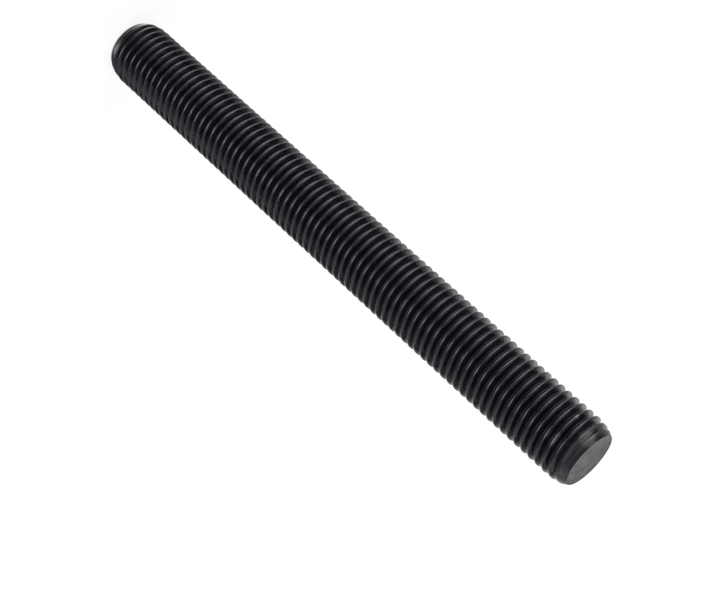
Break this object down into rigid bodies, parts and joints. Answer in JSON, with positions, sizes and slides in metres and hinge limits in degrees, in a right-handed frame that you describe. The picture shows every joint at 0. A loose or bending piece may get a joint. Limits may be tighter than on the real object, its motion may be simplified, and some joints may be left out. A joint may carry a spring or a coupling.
{
  "type": "threaded stud",
  "caption": "Straight steel stud threaded over its whole length, with chamfered ends and a black oxide finish.",
  "frame": {"origin": "centre of the lower end face", "axes": "+Z along the stud's axis, from the lower end face to the upper one; X and Y lie in the end face"},
  "size_m": [0.0198, 0.0198, 0.19],
  "materials": {
    "black_oxide_steel": "black oxide over rolled steel, with worn crests"
  },
  "bodies": {
    "root": {"threaded_stud": "black_oxide_steel"}
  },
  "joints": []
}
